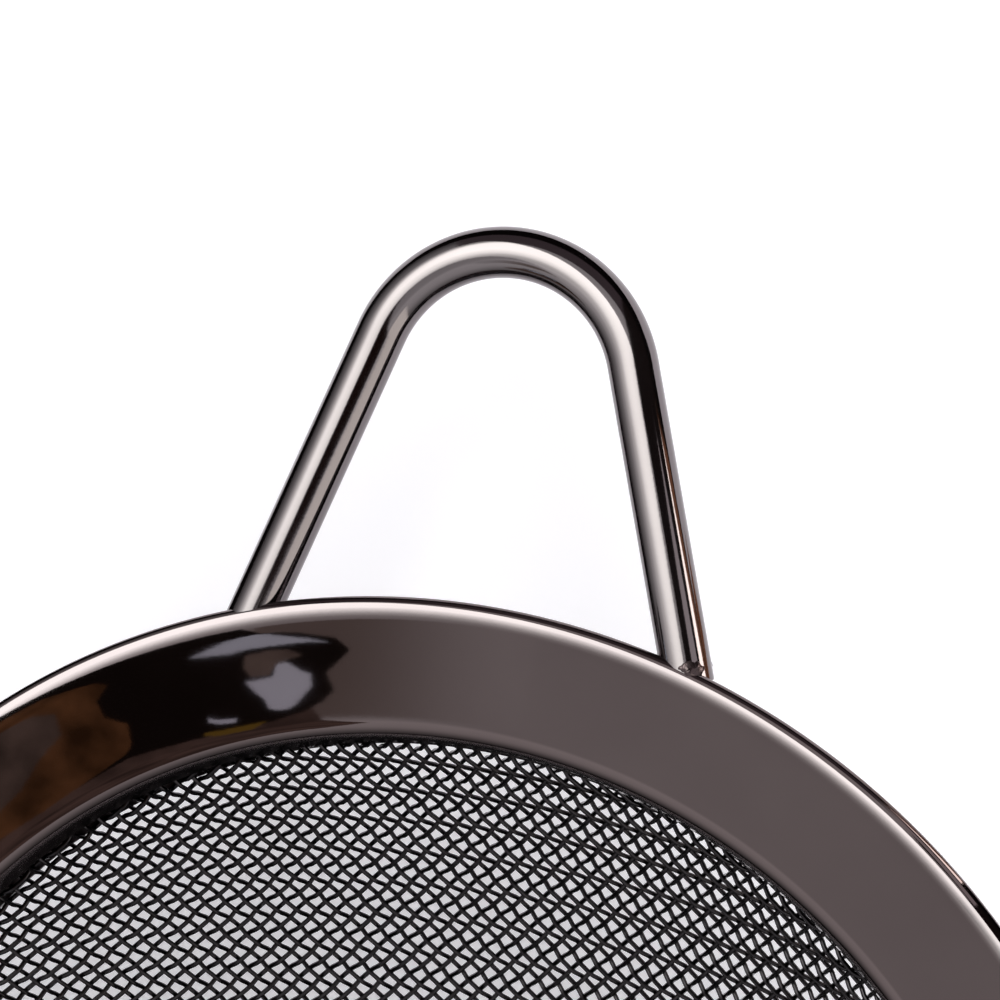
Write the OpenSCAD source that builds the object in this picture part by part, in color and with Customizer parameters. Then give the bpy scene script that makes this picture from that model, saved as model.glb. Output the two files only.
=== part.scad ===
// Hand sieve: a pressed steel rim carries a bowl of woven wire cloth. A loop of round rod
// rests on the edge of a bin or pot, and a handle of the same rod is welded on opposite it.
// +Z is up with the mouth open upwards, and +Y points from the mouth towards the rest loop.
// The origin is level with the lowest point of the bowl, halfway along the sieve's length.

/* [Rim] */
// Outer diameter of the rolled rim
rim_d = 149.8; // [140:0.2:200]
// Diameter of the mouth at the collar's lower edge
mouth_d = 120.4; // [112:0.2:124]
// Thickness of the rim's sheet
sheet_t = 0.6; // [0.5:0.1:0.7]
// Radius of the slow bend that leads from the flat face to the rolled edge
crown_r = 10; // [5:0.5:14]
// Angle that the slow bend turns the sheet down by
crown_angle = 12; // [8:1:20]
// Outer diameter of the rolled edge
roll_d = 1.8; // [1.8:0.1:3.2]
// Width of the slit where the rolled edge comes back under the face
roll_slit = 0.5; // [0.3:0.1:0.7]
// Depth of the collar below the face
collar_h = 3.2; // [2.6:0.1:5]
// Angle of the collar's wall from upright
collar_draft = 23; // [10:1:30]
// Radius of the bend between the face and the collar
collar_bend = 2.4; // [1.6:0.1:2.6]

/* [Wire cloth] */
// Radius of the ball that the bowl is pressed over
bowl_r = 79; // [72:1:120]
// Distance between neighbouring wires along the cloth
pitch = 1.48; // [1.3:0.02:5]
// Diameter of a wire
wire_d = 0.42; // [0.3:0.02:0.6]
// Angle between the wires and the handle
cloth_turn = 46; // [0:1:90]

/* [Clamp ring] */
// Thickness of the clamp ring's sheet
clamp_t = 0.7; // [0.5:0.1:1]
// How far the clamp ring's lip reaches in past the collar
clamp_lip = 0.6; // [0:0.1:2]
// Clearance between the clamp ring's leg and the collar's bend
clamp_gap = 0.1; // [0.05:0.05:0.3]
// Distance from the ends of the wires to the clamp ring's leg
cloth_inset = 0.5; // [0.3:0.1:1]

/* [Rest loop] */
// Diameter of the loop's rod
loop_rod_d = 5; // [4:0.2:6]
// Distance between the loop's feet
loop_feet = 43; // [38:0.2:56]
// Reach of the loop beyond the rim
loop_reach = 35.5; // [34:0.1:60]
// Bend radius at the loop's tip
loop_tip_r = 13.3; // [9:0.1:15]
// Downward lean of the loop
loop_lean = 10; // [0:1:14]

/* [Handle] */
// Diameter of the handle's rod
handle_rod_d = 5; // [4:0.2:6]
// Reach of the handle beyond the rim
handle_reach = 150; // [120:5:220]
// Distance between the handle's feet
handle_feet = 46; // [38:1:56]
// Distance between the two rods of the grip
grip_w = 16; // [13:1:20]
// Length over which the rods draw together
neck_len = 46; // [40:1:56]
// Bend radius where the rods straighten into the grip
neck_bend = 30; // [20:1:40]

/* [Welds] */
// How far the rods' feet lie below the middle of the rolled edge
rod_drop = 1.8; // [0.6:0.1:2.2]
// Radius of the weld beads above and below each foot
bead_r = 1.9; // [1.6:0.1:2.2]
// How far a bead stands up from the rod
bead_rise = 0.4; // [0.3:0.1:0.7]

/* [Hidden] */
seat = 0.02; // gap that keeps neighbouring solids apart where they touch
sink = 0.3; // how far a straight stretch of rod runs on inside a bend
lap = 0.5; // angle by which the slow bend runs on inside the face and the rolled edge
rim_r = rim_d / 2;
mouth_r = mouth_d / 2;
roll_r = roll_d / 2;
roll_at = rim_r - roll_r;
roll_z = -crown_r * (1 - cos(crown_angle)) - roll_r * cos(crown_angle);
crown_at = roll_at - (crown_r - roll_r) * sin(crown_angle);
outer_r = bowl_r + wire_d / 2 + seat / 2; // ball of the outer wires' centres
inner_r = bowl_r - wire_d / 2 - seat / 2; // ball of the inner wires' centres
cloth_out = outer_r + wire_d / 2 + seat;
cloth_in = inner_r - wire_d / 2 - seat;

// The collar's wall leans in from the bend down to the mouth
bend_end_z = -collar_bend * (1 - sin(collar_draft));
wall_run = (collar_h + bend_end_z) * tan(collar_draft);
bend_at = mouth_r + wall_run + collar_bend * cos(collar_draft);
collar_foot = mouth_r + sheet_t / cos(collar_draft);
curl_end = asin(-(sheet_t + roll_slit + roll_z) / roll_r);

// The cloth touches the outer corner of the collar's lower edge
ball_z = sqrt(cloth_in * cloth_in - collar_foot * collar_foot) - collar_h;
leg_r = bend_at + clamp_gap; // inside of the clamp ring's leg
cloth_edge = leg_r - cloth_inset; // where the wires end
lip_r = mouth_r - clamp_lip;

foot_z = roll_z - rod_drop; // height of both rods' feet
loop_root = sqrt(rim_r * rim_r - loop_feet * loop_feet / 4);
handle_root = sqrt(rim_r * rim_r - handle_feet * handle_feet / 4);
loop_len = (rim_r + loop_reach - loop_rod_d / 2 - loop_root) / cos(loop_lean);
handle_len = rim_r + handle_reach - handle_rod_d / 2 - handle_root;

// Each leg of the loop runs straight from its foot and touches the bend at the tip
loop_side = loop_feet / 2;
loop_rise = loop_len - loop_tip_r;
loop_slant = atan2(loop_side, loop_rise) - asin(loop_tip_r / norm([loop_side, loop_rise]));

// Each rod of the handle runs straight from its foot and touches the bend into the grip
handle_side = handle_feet / 2;
grip_r = grip_w / 2;
neck_off = neck_bend - handle_side + grip_r;
handle_slant = asin(neck_bend / norm([neck_len, neck_off])) - atan2(neck_off, neck_len);

// The mouth's axis lies off the middle of the length, because the handle is the longer arm
mouth_y = (handle_reach - loop_reach) / 2;
mouth_z = outer_r + wire_d / 2 - ball_z;

gunmetal = [0.34, 0.30, 0.31];
dark_steel = [0.20, 0.18, 0.18];
bead_grey = [0.28, 0.25, 0.25];

// The part of a ring between two angles, in the plane of a profile
module ring_sector(r_out, wall, from, to) {
    steps = ceil((to - from) / 45);
    intersection() {
        difference() {
            circle(r = r_out, $fn = 72);
            circle(r = r_out - wall, $fn = 72);
        }
        polygon([[0, 0], for (i = [0:steps])
            let (a = from + (to - from) * i / steps) 2 * r_out * [cos(a), sin(a)]]);
    }
}

// A straight stretch of rod between two distances from a point, leaning from +Y towards -X.
// It is a hair thinner than the bends, so that its ends lie inside them.
module rod_run(d, at, lean, from, to)
    translate([at.x, at.y, 0]) rotate([-90, 0, lean])
        translate([0, 0, from]) cylinder(d = d - seat, h = to - from, $fn = 40);

// A bent stretch of rod round a centre
module rod_bend(d, r, centre, from, angle)
    translate([centre.x, centre.y, 0]) rotate([0, 0, from])
        rotate_extrude(angle = angle, $fn = 120) translate([r, 0]) circle(d = d, $fn = 40);

// What a foot is cut back to, so that it ends against the outside of the rolled edge
module rim_edge()
    translate([0, 0, foot_z - rim_r / 2]) cylinder(r = rim_r + seat, h = rim_r, $fn = 180);

module rim() color(gunmetal) rotate_extrude($fn = 180) {
    // Face
    translate([bend_at, -sheet_t]) square([crown_at - bend_at, sheet_t]);
    // Slow bend, a hair thinner than the sheet, so that its ends lie inside it
    translate([crown_at, -crown_r])
        ring_sector(crown_r - seat / 2, sheet_t - seat, 90 - crown_angle - lap, 90 + lap);
    // Edge rolled down and back under the face
    translate([roll_at, roll_z])
        ring_sector(roll_r, sheet_t, -180 - curl_end, 90 - crown_angle);
    // Bend from the face into the collar
    translate([bend_at, -collar_bend])
        ring_sector(collar_bend, sheet_t, 90, 180 - collar_draft);
    // Collar, leaning in towards its lower edge
    polygon([
        [mouth_r, -collar_h], [collar_foot, -collar_h],
        [bend_at - (collar_bend - sheet_t) * cos(collar_draft),
            -collar_bend + (collar_bend - sheet_t) * sin(collar_draft)],
        [bend_at - collar_bend * cos(collar_draft), bend_end_z]
    ]);
}

// A lip follows the cloth from below, and a leg stands up to the underside of the face
module clamp_ring() color(gunmetal) rotate_extrude($fn = 180) intersection() {
    translate([0, ball_z]) circle(r = cloth_out + clamp_t, $fn = 360);
    difference() {
        translate([lip_r, -mouth_z]) square([leg_r + clamp_t - lip_r, mouth_z - sheet_t]);
        intersection() {
            translate([0, ball_z]) circle(r = cloth_out, $fn = 360);
            translate([0, -mouth_z]) square([leg_r, 2 * mouth_z]);
        }
    }
}

// A round wire drawn with eight flats, because there are nearly two hundred of them
module wire_section()
    polygon([for (a = [22.5:45:337.5]) wire_d / 2 * [cos(a), sin(a)]]);

// One set of the cloth's wires: each is an arc on a ball, cut off under the rim
module wires(ball) {
    last = floor(bowl_r * asin((cloth_edge - wire_d) / bowl_r) * PI / 180 / pitch);
    for (i = [-last:last]) {
        off = bowl_r * sin(i * pitch / bowl_r * 180 / PI);
        arc_r = sqrt(ball * ball - off * off);
        half = asin(sqrt(cloth_edge * cloth_edge - off * off) / arc_r);
        translate([off, 0, ball_z]) rotate([0, 90, 0]) rotate([0, 0, -half])
            rotate_extrude(angle = 2 * half, $fn = 90)
                translate([arc_r, 0]) wire_section();
    }
}

module warp_wires() color(dark_steel) rotate([0, 0, cloth_turn]) wires(outer_r);

module weft_wires() color(dark_steel) rotate([0, 0, cloth_turn + 90]) wires(inner_r);

// A rod frame lies flat with its feet on the X axis and reaches along +Y
module loop_frame() {
    leg = sqrt(loop_side * loop_side + loop_rise * loop_rise - loop_tip_r * loop_tip_r);
    for (m = [0, 1]) mirror([m, 0, 0])
        rod_run(loop_rod_d, [loop_side, 0], loop_slant, -loop_rod_d, leg + sink);
    rod_bend(loop_rod_d, loop_tip_r, [0, loop_rise], loop_slant, 180 - 2 * loop_slant);
}

module handle_frame() {
    leg = (neck_len - neck_bend * sin(handle_slant)) / cos(handle_slant);
    grip_len = handle_len - grip_r - neck_len;
    for (m = [0, 1]) mirror([m, 0, 0]) {
        rod_run(handle_rod_d, [handle_side, 0], handle_slant, -handle_rod_d, leg + sink);
        rod_bend(handle_rod_d, neck_bend, [grip_r + neck_bend, neck_len], 180, handle_slant);
        rod_run(handle_rod_d, [grip_r, neck_len], 0, -sink, grip_len + sink);
    }
    rod_bend(handle_rod_d, grip_r, [0, handle_len - grip_r], 0, 180);
}

module rest_loop() color(gunmetal) difference() {
    translate([0, loop_root, foot_z]) rotate([-loop_lean, 0, 0]) loop_frame();
    rim_edge();
}

module handle() color(gunmetal) difference() {
    translate([0, -handle_root, foot_z]) rotate([0, 0, 180]) handle_frame();
    rim_edge();
}

// A bead above and one below each foot fill the corner between the rod and the rolled edge
module weld_beads(d, foot, turn, lean) color(bead_grey) difference() {
    for (up = [-1, 1])
        translate(foot + [0, 0, up * (d / 2 + bead_rise - bead_r)]) sphere(r = bead_r, $fn = 40);
    difference() {
        translate(foot) rotate([lean, 0, 0]) rotate([-90, 0, turn])
            translate([0, 0, -d]) cylinder(d = d + 2 * seat, h = 3 * d, $fn = 40);
        rim_edge();
    }
    rotate_extrude($fn = 180) {
        translate([roll_at, roll_z]) circle(r = roll_r + seat, $fn = 48);
        translate([0, foot_z - d]) square([roll_at, 2 * d]);
    }
}

module loop_weld(side) weld_beads(loop_rod_d,
    [side * loop_side, loop_root, foot_z], side * loop_slant, -loop_lean);

module handle_weld(side) weld_beads(handle_rod_d,
    [side * handle_side, -handle_root, foot_z], 180 - side * handle_slant, 0);

translate([0, mouth_y, mouth_z]) {
    rim();
    clamp_ring();
    warp_wires();
    weft_wires();
    rest_loop();
    loop_weld(-1);  // loop_weld_left
    loop_weld(1);  // loop_weld_right
    handle();
    handle_weld(-1);  // handle_weld_left
    handle_weld(1);  // handle_weld_right
}
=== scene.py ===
# Looks of a hand sieve: polished gunmetal rim and rods, a bowl of dark twill-woven wire cloth
import math

import bpy
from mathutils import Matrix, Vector


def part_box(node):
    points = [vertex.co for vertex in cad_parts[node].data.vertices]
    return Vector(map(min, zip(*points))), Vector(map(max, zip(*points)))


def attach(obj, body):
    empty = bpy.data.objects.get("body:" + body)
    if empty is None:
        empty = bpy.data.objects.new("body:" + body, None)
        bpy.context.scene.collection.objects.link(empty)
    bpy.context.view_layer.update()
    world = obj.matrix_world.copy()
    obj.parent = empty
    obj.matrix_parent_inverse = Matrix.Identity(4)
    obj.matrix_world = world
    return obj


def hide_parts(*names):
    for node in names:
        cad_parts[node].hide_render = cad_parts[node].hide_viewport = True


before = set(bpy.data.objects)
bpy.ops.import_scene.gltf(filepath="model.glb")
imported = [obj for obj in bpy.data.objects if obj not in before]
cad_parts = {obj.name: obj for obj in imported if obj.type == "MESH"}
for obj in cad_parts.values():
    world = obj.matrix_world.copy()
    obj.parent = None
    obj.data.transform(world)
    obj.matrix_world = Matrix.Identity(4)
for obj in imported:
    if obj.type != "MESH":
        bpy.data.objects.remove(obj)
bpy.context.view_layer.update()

mm = 0.001
smoothAngle = math.radians(35)  # sharper edges than this stay sharp


# Turns an sRGB hex value into a linear colour
def linear(code):
    parts = [int(code[i:i + 2], 16) / 255 for i in (1, 3, 5)]
    return [p / 12.92 if p < 0.04045 else ((p + 0.055) / 1.055) ** 2.4 for p in parts] + [1.0]


# Adds a node. Each input is a value or a socket to link, each setting one of the node's own
def addNode(tree, kind, inputs=None, **settings):
    node = tree.nodes.new(kind)
    for key, value in settings.items():
        setattr(node, key, value)
    for key, value in (inputs or {}).items():
        if isinstance(value, bpy.types.NodeSocket):
            tree.links.new(value, node.inputs[key])
        else:
            node.inputs[key].default_value = value
    return node


def deselect():
    bpy.ops.object.select_all(action="DESELECT")


def choose(piece):
    deselect()
    piece.select_set(True)
    bpy.context.view_layer.objects.active = piece


# Names what the last operator made
def take(name):
    piece = bpy.context.object
    piece.name = name
    piece.data.name = name
    return piece


# Puts a piece's place into its mesh
def settle(piece):
    choose(piece)
    bpy.ops.object.transform_apply(location=True, rotation=True, scale=True)


def paint(piece, metal):
    piece.data.materials.clear()
    piece.data.materials.append(metal)


def dress(piece, slot, metal, *nodes):
    paint(piece, metal)
    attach(piece, "root")
    if nodes:
        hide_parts(*nodes)


def extrude(x, y, z):
    bpy.ops.mesh.extrude_region_move(TRANSFORM_OT_translate={"value": (x, y, z)})


# Where things are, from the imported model
rimLow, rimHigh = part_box("rim")
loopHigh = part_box("rest_loop")[1]
handleLow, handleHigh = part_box("handle")
axisX = (rimLow.x + rimHigh.x) / 2
axisY = (rimLow.y + rimHigh.y) / 2
faceZ = rimHigh.z
rimRadius = (rimHigh.x - rimLow.x) / 2
footZ = (handleLow.z + handleHigh.z) / 2


# Polished gunmetal plating: dark, a little warm, with faint buffing marks and haze. The colour
# clouds, marks and swells are sized in mm, and the depth of a swell too
def gunmetal(name, settings):
    metal = bpy.data.materials.new(name)
    metal.use_nodes = True
    tree = metal.node_tree
    shader = tree.nodes["Principled BSDF"]
    place = addNode(tree, "ShaderNodeTexCoord").outputs["Object"]
    cloudy = addNode(tree, "ShaderNodeTexNoise", {
        "Vector": place, "Scale": 1 / (settings["cloud"] * mm), "Detail": 4.0})
    tint = addNode(tree, "ShaderNodeMix", {
        "Factor": cloudy.outputs["Fac"], "A": linear(settings["dark"]),
        "B": linear(settings["light"])}, data_type="RGBA")
    haze = addNode(tree, "ShaderNodeMapRange", {
        "Value": cloudy.outputs["Fac"], "From Min": 0.3, "From Max": 0.7,
        "To Min": settings["smooth"], "To Max": settings["hazy"]})
    marks = addNode(tree, "ShaderNodeTexNoise", {
        "Vector": place, "Scale": 1 / (settings["mark"] * mm), "Detail": 6.0, "Roughness": 0.6})
    swell = addNode(tree, "ShaderNodeTexNoise", {
        "Vector": place, "Scale": 1 / (settings["swell"] * mm), "Detail": 1.0})
    fine = addNode(tree, "ShaderNodeBump", {
        "Height": marks.outputs["Fac"], "Strength": settings["markDepth"], "Distance": 0.05 * mm})
    slow = addNode(tree, "ShaderNodeBump", {
        "Height": swell.outputs["Fac"], "Normal": fine.outputs["Normal"],
        "Strength": 1.0, "Distance": settings["swellDepth"] * mm})
    tree.links.new(tint.outputs["Result"], shader.inputs["Base Color"])
    tree.links.new(haze.outputs["Result"], shader.inputs["Roughness"])
    tree.links.new(slow.outputs["Normal"], shader.inputs["Normal"])
    shader.inputs["Metallic"].default_value = 1.0
    return metal


# Pressed sheet, buffed after plating: nearly a clean mirror, with slow waves. Its colour is kept
# darker than the rod's, as painted shade for the dim reflection in the face
rimMetalShaded = gunmetal("polished_gunmetal_sheet_painted_shade", {
    "dark": "#615657", "light": "#6B6060", "cloud": 14, "smooth": 0.04, "hazy": 0.08,
    "mark": 0.6, "markDepth": 0.03, "swell": 22, "swellDepth": 0.04})
# Drawn rod, buffed less: softer edges to what it mirrors
rodMetal = gunmetal("polished_gunmetal_rod", {
    "dark": "#70696B", "light": "#7A7375", "cloud": 9, "smooth": 0.07, "hazy": 0.12,
    "mark": 0.5, "markDepth": 0.06, "swell": 9, "swellDepth": 0.03})
# The ring under the rim was never buffed, so it is dull; its darker colour is painted shade for
# the recess under the rim
ringMetalShaded = gunmetal("dull_gunmetal_ring_painted_shade", {
    "dark": "#3A3334", "light": "#463E3F", "cloud": 6, "smooth": 0.24, "hazy": 0.36,
    "mark": 0.7, "markDepth": 0.15, "swell": 12, "swellDepth": 0.04})
# Weld metal under the plating: dark, pitted, with broken glints
beadMetal = gunmetal("plated_weld_bead", {
    "dark": "#42393A", "light": "#5A4F50", "cloud": 1.2, "smooth": 0.16, "hazy": 0.34,
    "mark": 0.4, "markDepth": 0.5, "swell": 1.6, "swellDepth": 0.08})
# Plated wire, woven: almost black, with a fine bright line along each crest
wireMetal = gunmetal("dark_plated_wire", {
    "dark": "#292729", "light": "#3B383A", "cloud": 1.1, "smooth": 0.09, "hazy": 0.16,
    "mark": 0.12, "markDepth": 0.2, "swell": 3, "swellDepth": 0.01})
print("materials made")


# Pressed sheet: rolled edge, slow bend, flat face, bend, collar. Lengths in mm, angles in degrees
rimForm = {"sides": 320, "sheet": 0.6, "rollRadius": 0.9, "crownRadius": 10, "crownAngle": 12,
           "collarBend": 2.4, "collarDraft": 23, "collarDepth": 3.2, "mouthRadius": 60.2,
           "rollSteps": 26, "crownSteps": 6, "faceSteps": 5, "bendSteps": 10, "collarSteps": 3}


# The sheet's upper surface from the hidden end of the roll to the collar's foot, in mm
def rimProfile(form):
    crown = math.radians(form["crownAngle"])
    draft = math.radians(form["collarDraft"])
    roll, slow, bend = form["rollRadius"], form["crownRadius"], form["collarBend"]
    rollAt = rimRadius / mm - roll
    rollZ = -slow * (1 - math.cos(crown)) - roll * math.cos(crown)
    crownAt = rollAt - (slow - roll) * math.sin(crown)
    bendEnd = -bend * (1 - math.sin(draft))
    bendAt = (form["mouthRadius"] + (form["collarDepth"] + bendEnd) * math.tan(draft)
              + bend * math.cos(draft))
    points = []
    for i in range(form["rollSteps"] + 1):
        angle = -math.pi + (math.pi * 1.5 - crown) * i / form["rollSteps"]
        points.append((rollAt + roll * math.cos(angle), rollZ + roll * math.sin(angle)))
    for i in range(1, form["crownSteps"] + 1):
        angle = math.pi / 2 - crown + crown * i / form["crownSteps"]
        points.append((crownAt + slow * math.cos(angle), -slow + slow * math.sin(angle)))
    for i in range(1, form["faceSteps"]):
        points.append((crownAt + (bendAt - crownAt) * i / form["faceSteps"], 0))
    for i in range(form["bendSteps"] + 1):
        angle = math.pi / 2 + (math.pi / 2 - draft) * i / form["bendSteps"]
        points.append((bendAt + bend * math.cos(angle), -bend + bend * math.sin(angle)))
    foot = points[-1]
    for i in range(1, form["collarSteps"] + 1):
        share = i / form["collarSteps"]
        points.append((foot[0] + (form["mouthRadius"] - foot[0]) * share,
                       foot[1] + (-form["collarDepth"] - foot[1]) * share))
    return points


def makeRim(form):
    points = rimProfile(form)
    deselect()
    bpy.ops.mesh.primitive_circle_add(
        vertices=form["sides"], radius=points[0][0] * mm, fill_type="NOTHING",
        location=(axisX, axisY, faceZ + points[0][1] * mm))
    piece = take("rim_sheet")
    bpy.ops.object.mode_set(mode="EDIT")
    bpy.ops.mesh.select_all(action="SELECT")
    for before, after in zip(points, points[1:]):
        extrude(0, 0, (after[1] - before[1]) * mm)
        share = after[0] / before[0]
        bpy.ops.transform.resize(value=(share, share, 1),
                                 center_override=(axisX, axisY, faceZ + after[1] * mm))
    bpy.ops.mesh.select_all(action="SELECT")
    bpy.ops.mesh.normals_make_consistent(inside=False)
    bpy.ops.object.mode_set(mode="OBJECT")
    settle(piece)
    # The sheet's top has to face up, so that its thickness goes down and in
    face = max(piece.data.polygons, key=lambda p: abs(p.normal.z) * p.area)
    if face.normal.z < 0:
        bpy.ops.object.mode_set(mode="EDIT")
        bpy.ops.mesh.select_all(action="SELECT")
        bpy.ops.mesh.flip_normals()
        bpy.ops.object.mode_set(mode="OBJECT")
    sheet = piece.modifiers.new("sheet", "SOLIDIFY")
    sheet.thickness = form["sheet"] * mm
    sheet.offset = -1
    sheet.use_even_offset = True
    bpy.ops.object.modifier_apply(modifier="sheet")
    bpy.ops.object.shade_smooth_by_angle(angle=smoothAngle)
    return piece


rim = makeRim(rimForm)
dress(rim, "rim_steel", rimMetalShaded, "rim")
print("rim made")
paint(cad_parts["clamp_ring"], ringMetalShaded)
print("clamp ring finished")


# Bends the swept end about an upright axis, to the left where the turn is positive
def spin(centre, turn, steps):
    bpy.ops.mesh.spin(steps=steps, angle=-turn, center=centre, axis=(0, 0, 1))


def startRod(name, form, at, slant):
    deselect()
    bpy.ops.mesh.primitive_circle_add(
        vertices=form["sides"], radius=form["radius"] * mm, fill_type="NGON", location=at,
        rotation=(-math.pi / 2, 0, slant))
    piece = take(name)
    bpy.ops.object.mode_set(mode="EDIT")
    bpy.ops.mesh.select_all(action="SELECT")
    return piece


# Selects the part of a piece on one side of its length, ready to edit
def pickSide(piece, sign):
    mesh = piece.data
    for vertex in mesh.vertices:
        vertex.select = (vertex.co.x - axisX) * sign > 0
    for part in list(mesh.edges) + list(mesh.polygons):
        part.select = all(mesh.vertices[i].select for i in part.vertices)
    bpy.ops.object.mode_set(mode="EDIT")


# Sets a rod in place and cuts its feet off flat, a little way into the rolled edge
def seatRod(piece, side, end, sunk):
    bpy.ops.object.mode_set(mode="OBJECT")
    settle(piece)
    for sign in (-1, 1):
        pickSide(piece, sign)
        x = sign * side
        y = end * math.sqrt((rimRadius - sunk) ** 2 - x * x)
        bpy.ops.mesh.bisect(plane_co=(axisX + x, axisY + y, 0), plane_no=(x, y, 0),
                            use_fill=True, clear_inner=True)
        bpy.ops.mesh.select_all(action="SELECT")
        bpy.ops.mesh.normals_make_consistent(inside=False)
        bpy.ops.object.mode_set(mode="OBJECT")
    bpy.ops.object.shade_smooth_by_angle(angle=smoothAngle)


# Rest loop: drawn flat with its feet on the X axis, then leaned and set against the rim. Lengths
# in mm, the lean in degrees. The feet are their distance apart, and spare is cut off them again
loopForm = {"radius": 2.5, "feet": 43, "tip": 13.3, "lean": -10, "spare": 5, "sunk": 0.35,
            "sides": 56, "tipSteps": 72}


def makeLoop(form):
    radius, tip, spare = form["radius"] * mm, form["tip"] * mm, form["spare"] * mm
    side = form["feet"] / 2 * mm
    lean = math.radians(form["lean"])
    root = math.sqrt(rimRadius ** 2 - side ** 2)
    rise = (loopHigh.y - radius - axisY - root) / math.cos(lean) - tip
    slant = math.atan2(side, rise) - math.asin(tip / math.hypot(side, rise))
    leg = math.sqrt(side ** 2 + rise ** 2 - tip ** 2)
    dx, dy = -math.sin(slant), math.cos(slant)
    piece = startRod("rest_loop_rod", form, (side - dx * spare, -dy * spare, 0), slant)
    extrude(dx * (leg + spare), dy * (leg + spare), 0)
    spin((0, rise, 0), math.pi - 2 * slant, form["tipSteps"])
    extrude(dx * (leg + spare), -dy * (leg + spare), 0)
    bpy.ops.mesh.select_all(action="SELECT")
    bpy.ops.transform.rotate(value=-lean, orient_axis="X", center_override=(0, 0, 0))
    bpy.ops.transform.translate(value=(axisX, axisY + root, footZ))
    seatRod(piece, side, 1, form["sunk"] * mm)
    return piece


# Handle: two rods that draw together along the neck and run side by side to a round end
handleForm = {"radius": 2.5, "feet": 46, "grip": 16, "neck": 46, "bend": 30, "spare": 5,
              "sunk": 0.35, "sides": 56, "bendSteps": 14, "endSteps": 72}


def makeHandle(form):
    radius, bend, neck = form["radius"] * mm, form["bend"] * mm, form["neck"] * mm
    side, grip, spare = form["feet"] / 2 * mm, form["grip"] / 2 * mm, form["spare"] * mm
    root = math.sqrt(rimRadius ** 2 - side ** 2)
    straight = (axisY - root - handleLow.y) - radius - grip - neck
    off = bend - side + grip
    slant = math.asin(bend / math.hypot(neck, off)) - math.atan2(off, neck)
    leg = (neck - bend * math.sin(slant)) / math.cos(slant)
    dx, dy = -math.sin(slant), math.cos(slant)
    piece = startRod("handle_rod", form, (side - dx * spare, -dy * spare, 0), slant)
    extrude(dx * (leg + spare), dy * (leg + spare), 0)
    spin((grip + bend, neck, 0), -slant, form["bendSteps"])
    extrude(0, straight, 0)
    spin((0, neck + straight, 0), math.pi, form["endSteps"])
    extrude(0, -straight, 0)
    spin((-grip - bend, neck, 0), -slant, form["bendSteps"])
    extrude(dx * (leg + spare), -dy * (leg + spare), 0)
    bpy.ops.mesh.select_all(action="SELECT")
    bpy.ops.transform.rotate(value=math.pi, orient_axis="Z", center_override=(0, 0, 0))
    bpy.ops.transform.translate(value=(axisX, axisY - root, footZ))
    seatRod(piece, side, -1, form["sunk"] * mm)
    return piece


loop = makeLoop(loopForm)
dress(loop, "rod_steel", rodMetal, "rest_loop")
print("rest loop made")
handle = makeHandle(handleForm)
dress(handle, "rod_steel", rodMetal, "handle")
print("handle made")


# A weld bead has a ball above and a ball below the rod's foot. In mm: the balls' radius, and how
# far they are up and down, out from the rim and to the right
beadHidden = {"radius": 1.62, "up": 0.75}
beadForm = {"radius": 1.5, "up": 1.2}
beadLarge = {"radius": 1.75, "up": 0.95, "out": -0.55, "aside": 0.7}
# Lumps of the bead's surface, in mm
beadSmooth = {"size": 1.6, "depth": 0.25, "detail": 1}
beadRough = {"size": 0.6, "depth": 0.45, "detail": 2}


def makeBead(name, x, end, form, rough, node):
    deselect()
    y = end * math.sqrt(rimRadius ** 2 - x * x)
    at = Vector((axisX + x, axisY + y, footZ)) + mm * Vector(
        (form.get("aside", 0), end * form.get("out", 0), 0))
    rise = Vector((0, 0, form["up"] * mm))
    ball = {"segments": 40, "ring_count": 24, "radius": form["radius"] * mm}
    bpy.ops.mesh.primitive_uv_sphere_add(location=at + rise, **ball)
    piece = take(name)
    bpy.ops.object.mode_set(mode="EDIT")
    bpy.ops.mesh.primitive_uv_sphere_add(location=at - rise, **ball)
    bpy.ops.object.mode_set(mode="OBJECT")
    settle(piece)
    lumps = bpy.data.textures.new(name + "_lumps", "CLOUDS")
    lumps.noise_scale = rough["size"] * mm
    lumps.noise_depth = rough["detail"]
    uneven = piece.modifiers.new("uneven", "DISPLACE")
    uneven.texture = lumps
    uneven.texture_coords = "LOCAL"
    uneven.strength = rough["depth"] * mm
    uneven.mid_level = 0.6
    bpy.ops.object.modifier_apply(modifier="uneven")
    bpy.ops.object.shade_smooth()
    dress(piece, "weld", beadMetal, node)


loopSide = loopForm["feet"] / 2 * mm
handleSide = handleForm["feet"] / 2 * mm
makeBead("loop_bead_left", -loopSide, 1, beadHidden, beadSmooth, "loop_weld_left")
makeBead("loop_bead_right", loopSide, 1, beadLarge, beadRough, "loop_weld_right")
makeBead("handle_bead_left", -handleSide, -1, beadForm, beadRough, "handle_weld_left")
makeBead("handle_bead_right", handleSide, -1, beadForm, beadSmooth, "handle_weld_right")
print("weld beads made")


# Twill of round wire on a ball: each wire passes over two and under two, one step on at each
# neighbour. The wires keep their distance along the cloth, so the holes lean over near the rim.
# Lengths in mm, the turn in degrees. The wave and its ripple are in half thicknesses of wire
clothForm = {"ball": 79, "pitch": 1.48, "wire": 0.51, "turn": 46, "edge": 62.7, "lift": 0.01,
             "steps": 4, "sides": 1, "wave": 1.2, "ripple": 0.214}


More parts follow.
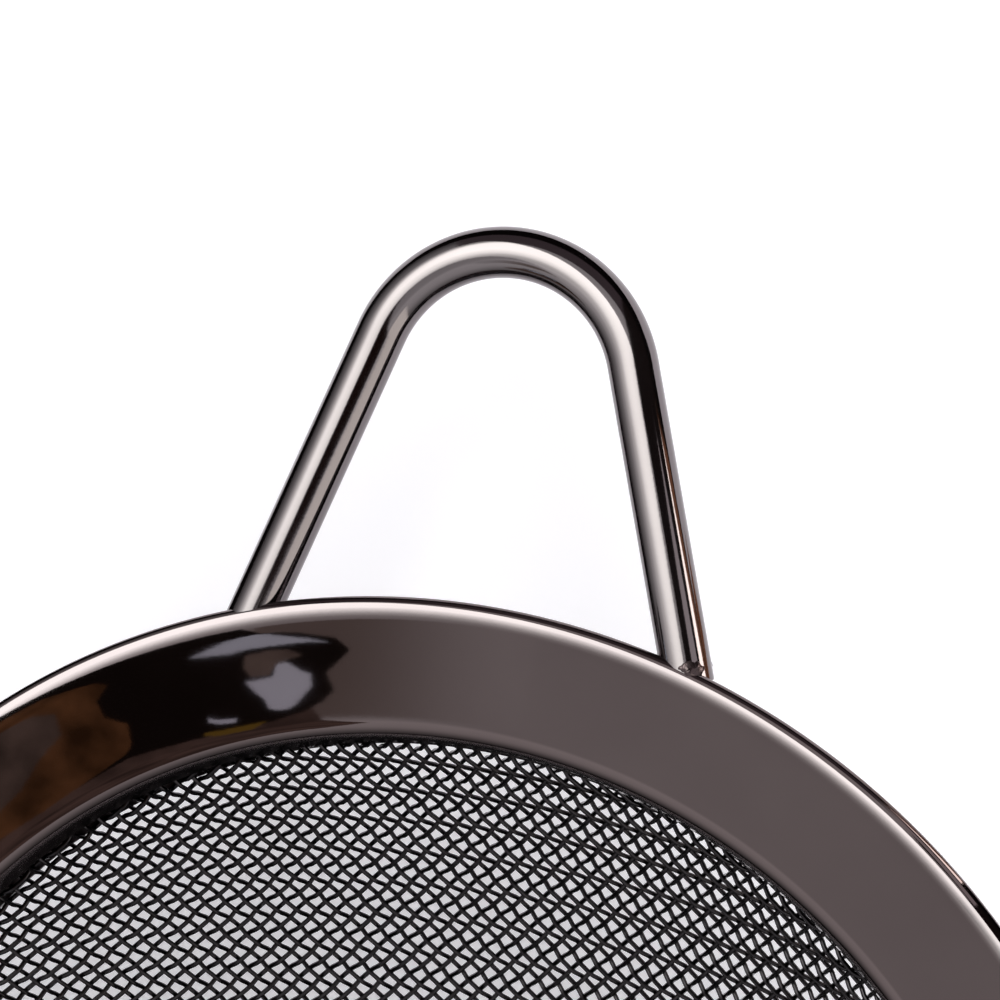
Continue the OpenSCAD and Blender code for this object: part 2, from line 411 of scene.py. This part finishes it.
# The two sets count their crossings in opposite senses, and one goes over where the other dips
def makeWires(name, form, extraTurn, sense, first, last, node):
    ball, pitch = form["ball"] * mm, form["pitch"] * mm
    thick, edge = form["wire"] / 2 * mm, form["edge"] * mm
    centre = Vector((axisX, axisY, ball + 2 * thick + form["lift"] * mm))
    turn = math.radians(form["turn"] + extraTurn)
    across = Vector((math.cos(turn), math.sin(turn), 0))
    onward = Vector((-math.sin(turn), math.cos(turn), 0))
    curve = bpy.data.curves.new(name, "CURVE")
    curve.dimensions = "3D"
    for i in range(first, last):
        off = ball * math.sin(i * pitch / ball)
        half = ball * math.asin(math.sqrt(edge ** 2 - off ** 2) / ball) / pitch
        count = math.floor(half * form["steps"])
        stops = [-half] + [k / form["steps"] for k in range(-count, count + 1)] + [half]
        spline = curve.splines.new("POLY")
        spline.points.add(len(stops) - 1)
        for point, j in zip(spline.points, stops):
            run = ball * math.sin(j * pitch / ball)
            phase = math.pi / 2 * (i + sense * j + 0.5)
            lift = sense * thick * (form["wave"] * math.sin(phase)
                                    + form["ripple"] * math.sin(3 * phase))
            ray = across * off + onward * run
            ray.z = -math.sqrt(ball ** 2 - off ** 2 - run ** 2)
            place = centre + ray * ((ball + lift) / ball)
            point.co = (place.x, place.y, place.z, 1)
    curve.bevel_depth = thick
    curve.bevel_resolution = form["sides"]
    curve.use_fill_caps = True
    piece = bpy.data.objects.new(name, curve)
    bpy.context.scene.collection.objects.link(piece)
    choose(piece)
    bpy.ops.object.convert(target="MESH")
    dress(take(name), "cloth_wire", wireMetal, node)


# Each set is two pieces, so that neither grows past 200,000 triangles
wireCount = math.floor(clothForm["ball"] * math.asin((clothForm["edge"] - clothForm["wire"])
                                                     / clothForm["ball"]) / clothForm["pitch"])
makeWires("warp_low", clothForm, 0, 1, -wireCount, 0, "warp_wires")
makeWires("warp_high", clothForm, 0, 1, 0, wireCount + 1, "warp_wires")
makeWires("weft_low", clothForm, 90, -1, -wireCount, 0, "weft_wires")
makeWires("weft_high", clothForm, 90, -1, 0, wireCount + 1, "weft_wires")
print("cloth made")


# 1 where a ray comes straight from the camera, a mirror or glass, and 0 elsewhere
def directRays(tree):
    path = addNode(tree, "ShaderNodeLightPath").outputs
    seen = addNode(tree, "ShaderNodeMath", {0: path["Is Camera Ray"], 1: path["Is Glossy Ray"]})
    return addNode(tree, "ShaderNodeMath", {0: seen.outputs[0], 1: path["Is Transmission Ray"]},
                   use_clamp=True).outputs[0]


# Floor of white paper board: matt and without a gleam, lifted to white where it is seen directly
floorForm = {"size": 8, "paper": "#F3F2F5", "rough": 0.9, "gleam": 0.1, "glow": "#FCFAFF",
             "lift": 0.33}
bpy.ops.mesh.primitive_plane_add(size=floorForm["size"], location=(0, 0, 0))
floor = take("floor")
paper = bpy.data.materials.new("white_paper")
paper.use_nodes = True
sockets = paper.node_tree.nodes["Principled BSDF"].inputs
sockets["Base Color"].default_value = linear(floorForm["paper"])
sockets["Roughness"].default_value = floorForm["rough"]
sockets["Specular IOR Level"].default_value = floorForm["gleam"]
sockets["Emission Color"].default_value = linear(floorForm["glow"])
glowing = addNode(paper.node_tree, "ShaderNodeMath", {
    0: directRays(paper.node_tree), 1: floorForm["lift"]}, operation="MULTIPLY")
paper.node_tree.links.new(glowing.outputs[0], sockets["Emission Strength"])
floor.data.materials.append(paper)
print("floor made")

mouth = Vector((axisX, axisY, faceZ))


def aim(thing, target):
    thing.rotation_euler = (target - thing.location).to_track_quat("-Z", "Y").to_euler()


# Fills a colour ramp with greys. Stops are pairs of a position and a brightness
def fillRamp(ramp, stops):
    bands = ramp.color_ramp.elements
    while len(bands) < len(stops):
        bands.new(0.5)
    for band, (position, bright) in zip(bands, stops):
        band.position = position
        band.color = [bright] * 3 + [1]


# A flat lamp whose brightness changes with the distance from a centre. Places are in metres from
# the mouth's middle, the turn is in degrees, and steps are pairs of a distance and a brightness
def softbox(name, form, only):
    width, length = form["size"]
    lamp = bpy.data.lights.new(name, "AREA")
    lamp.shape = "RECTANGLE"
    lamp.size, lamp.size_y = width, length
    lamp.energy = math.pi * width * length
    lamp.color = linear(form["tone"])[:3]
    lamp.use_nodes = True
    tree = lamp.node_tree
    steps = form["steps"]
    reach = max(distance for distance, bright in steps)
    most = max(bright for distance, bright in steps)
    turn = math.radians(form["turn"])
    dx = form["centre"][0] - form["middle"][0]
    dy = form["centre"][1] - form["middle"][1]
    along = dx * math.cos(turn) + dy * math.sin(turn)
    across = -dx * math.sin(turn) + dy * math.cos(turn)
    spot = addNode(tree, "ShaderNodeNewGeometry").outputs["Parametric"]
    shift = addNode(tree, "ShaderNodeVectorMath", {
        0: spot, 1: (0.5 + along / width, 0.5 + across / length, 0)}, operation="SUBTRACT")
    scaled = addNode(tree, "ShaderNodeVectorMath", {
        0: shift.outputs[0], 1: (width / reach, length / reach, 0)}, operation="MULTIPLY")
    far = addNode(tree, "ShaderNodeVectorMath", {0: scaled.outputs[0]}, operation="LENGTH")
    ramp = addNode(tree, "ShaderNodeValToRGB", {"Fac": far.outputs["Value"]})
    fillRamp(ramp, [(distance / reach, bright / most) for distance, bright in steps])
    gain = addNode(tree, "ShaderNodeMath", {0: ramp.outputs["Color"], 1: most},
                   operation="MULTIPLY")
    tree.links.new(gain.outputs[0], tree.nodes["Emission"].inputs["Strength"])
    box = bpy.data.objects.new(name, lamp)
    bpy.context.scene.collection.objects.link(box)
    box.location = mouth + Vector(form["middle"])
    box.rotation_euler = (0, 0, turn)
    box.visible_camera = False
    box.light_linking.receiver_collection = only
    return box


def group(name, pieces):
    members = bpy.data.collections.new(name)
    for piece in pieces:
        members.objects.link(piece)
    return members


rimGroup = group("rim_pieces", [rim])
floorGroup = group("floor_pieces", [floor])
restGroup = group("other_pieces", [piece for piece in bpy.context.scene.objects
                                   if piece.type == "MESH" and piece not in (rim, floor)])
# Low enough for the sieve's shadow to fall away from the camera
floorLamp = {"middle": (0.45, 0.75, 0.75), "size": (0.9, 0.9), "turn": 0, "centre": (0.45, 0.75),
             "steps": [(0, 5.8), (1, 5.8)], "tone": "#FFFFFF"}
# Bright in the north, fading to the left and the front, with a sharp edge on the camera's side
northLamp = {"middle": (-0.605, 0.305, 0.6), "size": (1.248, 1.113), "turn": 45,
             "centre": (-0.15, 0.54), "tone": "#F9FFF7",
             "steps": [(0.24, 5.05), (0.36, 3.9), (0.41, 3.1), (0.46, 1.95), (0.55, 1.1),
                       (0.66, 0.8), (0.75, 0.35), (1.08, 0.1), (1.2, 0.0)]}
# Dark in the middle, so that only the slow bend at the rim's edge catches it
rimLamp = {"middle": (-0.41, 0.30, 1.2), "size": (0.87, 2.2), "turn": 48.7,
           "centre": (-0.294, -0.345), "tone": "#F0FFFC",
           "steps": [(0.36, 0.0), (0.43, 0.35), (0.5, 1.6), (0.59, 5.2), (0.66, 7.4), (1.2, 7.4)]}
floorBox = softbox("floor_box", floorLamp, floorGroup)
aim(floorBox, mouth)
softbox("north_box", northLamp, restGroup)
softbox("rim_box", rimLamp, rimGroup)
print("lamps made")


# Makes a sheet glow, and keeps it on the stage only to be mirrored in the metal
def mirrored(sheet, tone, bright):
    glow = bpy.data.materials.new(sheet.name)
    glow.use_nodes = True
    tree = glow.node_tree
    tree.nodes.clear()
    light = addNode(tree, "ShaderNodeEmission", {"Color": linear(tone), "Strength": bright})
    addNode(tree, "ShaderNodeOutputMaterial", {"Surface": light.outputs["Emission"]})
    sheet.data.materials.append(glow)
    sheet.visible_camera = False
    sheet.visible_diffuse = False
    sheet.visible_transmission = False
    sheet.visible_shadow = False
    return tree, light


# A piece of a dome round the mouth. The spans are degrees round from the right and degrees up
def drape(name, spanRound, spanUp, radius, tone, bright=1.0):
    deselect()
    bpy.ops.mesh.primitive_grid_add(x_subdivisions=24, y_subdivisions=24, size=1,
                                    location=(0, 0, 0))
    sheet = take(name)
    for vertex in sheet.data.vertices:
        turn = math.radians(spanRound[0] + (spanRound[1] - spanRound[0]) * (vertex.co.x + 0.5))
        up = math.radians(spanUp[0] + (spanUp[1] - spanUp[0]) * (vertex.co.y + 0.5))
        vertex.co = mouth + radius * Vector((math.cos(turn) * math.cos(up),
                                             math.sin(turn) * math.cos(up), math.sin(up)))
    return mirrored(sheet, tone, bright)


# A card with its corners at the given places
def card(name, places, tone, bright):
    deselect()
    bpy.ops.mesh.primitive_circle_add(vertices=len(places), radius=1, fill_type="NGON",
                                      location=(0, 0, 0))
    sheet = take(name)
    for vertex, place in zip(sheet.data.vertices, places):
        vertex.co = place
    return mirrored(sheet, tone, bright)


# A level rectangle. Its low and high corners are in metres from the mouth's middle, its height
# from the floor
def flat(name, low, high, height, tone, bright=1.0):
    (x0, y0), (x1, y1) = low, high
    card(name, [Vector((axisX + x, axisY + y, height))
                for x, y in ((x0, y0), (x1, y0), (x1, y1), (x0, y1))], tone, bright)


# A tent over everything, dim near the table and bright overhead. The shades are pairs of degrees
# up and a brightness
tentForm = {"radius": 3.0, "shades": [(0, 0.12), (7, 0.25), (17, 0.45), (27, 0.7), (37, 0.9),
                                      (50, 1.0), (60, 1.05), (68, 0.75), (90, 0.7)]}
tree, light = drape("tent", (-180, 180), (-0.5, 90), tentForm["radius"], "#FFFFFF")
place = addNode(tree, "ShaderNodeTexCoord").outputs["Object"]
fromMouth = addNode(tree, "ShaderNodeVectorMath", {0: place, 1: mouth}, operation="SUBTRACT")
height = addNode(tree, "ShaderNodeSeparateXYZ", {"Vector": fromMouth.outputs[0]}).outputs["Z"]
share = addNode(tree, "ShaderNodeMath", {0: height, 1: tentForm["radius"]}, operation="DIVIDE")
fade = addNode(tree, "ShaderNodeValToRGB", {"Fac": share.outputs[0]})
fillRamp(fade, [(math.sin(math.radians(up)), bright) for up, bright in tentForm["shades"]])
tree.links.new(fade.outputs["Color"], light.inputs["Color"])

# Dark and white sheets in front of the tent: spans, radius in metres, colour, brightness
drapes = {
    "dark_camera": ((-13, 45), (50, 89.5), 2.2, "#2E1E1B"),
    "dark_east": ((14, 55), (-1, 60), 2.1, "#2C2524"),
    "dark_north": ((55, 125), (-1, 34), 2.2, "#6A6064"),
    "white_east": ((-36, -14), (4, 50), 2.0, "#FFFDF4", 2.1),
}
for name, settings in drapes.items():
    drape(name, *settings)

# A dark table round the white board under the sieve, in four parts: low and high corners
tableForm = {"height": 0.0003, "tone": "#1A1616", "parts": {
    "table_north": ((-2, 0.142), (2, 2)),
    "table_west": ((-2, -2), (-0.072, 0.142)),
    "table_east": ((0.075, -2), (2, 0.142)),
    "table_south": ((-0.072, -2), (0.075, -0.25)),
}}
for name, (low, high) in tableForm["parts"].items():
    flat(name, low, high, tableForm["height"], tableForm["tone"])
print("tent and table made")


mottleSize = 6  # mm


# A level scrap whose outline is in mm from the mouth's middle, at a height over the face. It can
# be mottled, which changes its brightness by that share in patches
def scrap(name, height, tone, bright, mottle, outline):
    tree, light = card(name, [mouth + mm * Vector((x, y, height)) for x, y in outline], tone,
                       bright)
    if mottle:
        patchy = addNode(tree, "ShaderNodeTexNoise", {
            "Vector": addNode(tree, "ShaderNodeTexCoord").outputs["Object"],
            "Scale": 1 / (mottleSize * mm), "Detail": 3.0}).outputs["Fac"]
        strength = addNode(tree, "ShaderNodeMapRange", {
            "Value": patchy, "From Min": 0.35, "From Max": 0.65,
            "To Min": bright * (1 - mottle), "To Max": bright * (1 + mottle)})
        tree.links.new(strength.outputs["Result"], light.inputs["Strength"])
    return tree, light


# Dark, brown and pale scraps that only the left of the rim mirrors: height, colour, brightness,
# mottle and outline
scraps = {
    "scrap_dark": (22, "#FFD9C8", 0.02, 0, [
        (-58.6, 48.6), (-63.1, 55.4), (-58.5, 57.6), (-51.1, 60.8), (-44.0, 63.6), (-37.0, 66.1),
        (-32.9, 67.4), (-30.1, 68.2), (-27.0, 65.2), (-22.9, 65.5), (-19.3, 65.4), (-17.6, 64.2),
        (-18.8, 62.8), (-19.9, 61.6), (-18.9, 60.0), (-20.1, 58.6), (-21.7, 56.9), (-24.2, 55.3),
        (-26.7, 54.0), (-32.3, 52.1), (-39.4, 49.6), (-43.5, 46.3), (-48.5, 42.3), (-52.5, 38.9),
        (-56.5, 35.2)]),
    "scrap_low": (22.1, "#FFD9C8", 0.2, 0.4, [
        (-21.0, 57.5), (-26.7, 55.0), (-32.3, 53.1), (-39.4, 50.6), (-43.5, 47.3), (-48.5, 43.3),
        (-56.5, 36.2), (-50.0, 15.0), (-38.0, 20.0), (-28.0, 26.0), (-19.0, 34.0), (-15.0, 48.0)]),
    "scrap_orange": (21.9, "#FFB87C", 0.21, 0.6, [
        (-61.9, 52.7), (-56.9, 55.6), (-51.7, 57.9), (-46.0, 57.6), (-42.5, 57.5), (-43.5, 55.4),
        (-42.5, 53.9), (-40.0, 53.6), (-39.5, 51.7), (-39.8, 50.2), (-42.0, 47.9), (-44.5, 45.5),
        (-47.7, 42.6), (-52.5, 39.1), (-56.6, 36.0)]),
    "scrap_grey": (21.8, "#FFE2D0", 0.17, 0.6, [
        (-58.6, 48.6), (-54.0, 51.5), (-50.5, 53.2), (-47.8, 53.7), (-46.9, 51.5), (-49.0, 48.6),
        (-50.7, 45.3), (-52.8, 42.8), (-56.9, 39.8)]),
    "scrap_streak": (21.8, "#DEEFFF", 1.6, 0, [
        (-34.3, 61.3), (-30.9, 63.5), (-27.7, 65.0), (-22.3, 65.0), (-19.6, 64.8), (-21.8, 64.6),
        (-24.2, 64.0), (-28.1, 63.0), (-30.0, 62.2)]),
    "scrap_brown": (21.8, "#FFEAD9", 0.27, 0.3, [
        (-28.3, 62.2), (-25.9, 63.1), (-24.1, 63.4), (-22.4, 63.1), (-25.0, 61.8), (-25.6, 60.6),
        (-27.5, 60.1), (-28.4, 60.9)]),
    "scrap_pale": (21.8, "#E2F0FF", 1.64, 0, [
        (-25.0, 61.8), (-24.0, 62.2), (-22.6, 61.6), (-21.4, 61.3), (-21.2, 60.1), (-22.1, 58.9),
        (-22.6, 58.2), (-23.3, 57.3), (-24.2, 57.0), (-25.3, 57.1), (-26.0, 58.1), (-27.4, 59.0),
        (-28.1, 59.6), (-26.5, 60.1), (-25.3, 60.5)]),
    "scrap_small": (21.8, "#E0EEFF", 1.52, 0, [
        (-31.7, 55.4), (-30.2, 55.3), (-28.6, 55.5), (-28.6, 54.8), (-30.1, 54.5), (-31.5, 54.8)]),
    "scrap_yellow": (21.8, "#FFD55E", 0.38, 0, [
        (-31.7, 53.1), (-29.3, 53.7), (-26.8, 54.6), (-25.3, 55.1), (-26.7, 53.6), (-30.0, 52.6),
        (-31.6, 52.6)]),
}
for name, settings in scraps.items():
    scrap(name, *settings)

# A veil over the scraps, dim on the left and paler towards the middle
veilForm = {"height": 60, "dim": (0.36, 0.31, 0.28, 1), "pale": (0.76, 0.76, 0.76, 1),
            "from": -32, "to": -11, "outline": [
                (-41.9, 65.1), (-35.7, 66.6), (-29.5, 68.0), (-23.3, 69.3), (-15.5, 70.5),
                (-7.6, 71.3), (-10.7, 47.0), (-20.3, 46.5), (-26.3, 46.0), (-32.3, 45.4),
                (-37.0, 44.6)]}
tree, light = scrap("veil", veilForm["height"], "#FFFFFF", 1.0, 0, veilForm["outline"])
across = addNode(tree, "ShaderNodeSeparateXYZ", {
    "Vector": addNode(tree, "ShaderNodeTexCoord").outputs["Object"]}).outputs["X"]
share = addNode(tree, "ShaderNodeMapRange", {
    "Value": across, "From Min": mouth.x + veilForm["from"] * mm,
    "From Max": mouth.x + veilForm["to"] * mm}, interpolation_type="SMOOTHSTEP")
fade = addNode(tree, "ShaderNodeMix", {
    "Factor": share.outputs["Result"], "A": veilForm["dim"], "B": veilForm["pale"]},
    data_type="RGBA")
tree.links.new(fade.outputs["Result"], light.inputs["Color"])

# Upright cards beside the loop's right foot: mm to the east, colour, brightness, and an outline
# in mm to the north and up from the mouth's middle
footCards = {
    "foot_white": (78, "#FFF8EE", 6.5, [(84, -19), (119, -5), (84, 4)]),
    "foot_grey": (78.1, "#FBF4F6", 1.0, [
        (78, 11), (95, 13), (124, 22), (112, 45), (95, 55), (78, 55)]),
    "foot_brown": (78.1, "#FFB488", 0.5, [(84, -19), (121, -4), (112, -27), (84, -29)]),
}
for name, (east, tone, bright, outline) in footCards.items():
    card(name, [mouth + mm * Vector((east, y, z)) for y, z in outline], tone, bright)
flat("foot_brown_low", (0.05, 0.08), (0.078, 0.092), 0.0004, "#FFB488", 0.5)
print("cards made")

# White where it is seen directly, and a low even light elsewhere
skyLight = 0.37
world = bpy.data.worlds.new("studio")
bpy.context.scene.world = world
world.use_nodes = True
sky = world.node_tree
level = addNode(sky, "ShaderNodeMapRange", {
    "Value": directRays(sky), "To Min": skyLight, "To Max": 1.0})
sky.links.new(level.outputs["Result"], sky.nodes["Background"].inputs["Strength"])
sky.nodes["Background"].inputs["Color"].default_value = (1, 1, 1, 1)

# Where the camera is, in metres from the mouth's middle, and how it is turned, in degrees
cameraForm = {"from": (0.235247, 0.246337, 0.821124), "turned": (-9.3303, 16.6255, 4.8038),
              "lens": 327.294, "sensor": 36}
lens = bpy.data.cameras.new("camera")
lens.lens = cameraForm["lens"]
lens.sensor_width = cameraForm["sensor"]
camera = bpy.data.objects.new("camera", lens)
bpy.context.scene.collection.objects.link(camera)
camera.location = mouth + Vector(cameraForm["from"])
camera.rotation_euler = [math.radians(a) for a in cameraForm["turned"]]
bpy.context.scene.camera = camera
bpy.context.scene.view_settings.view_transform = "Standard"
print("stage set")
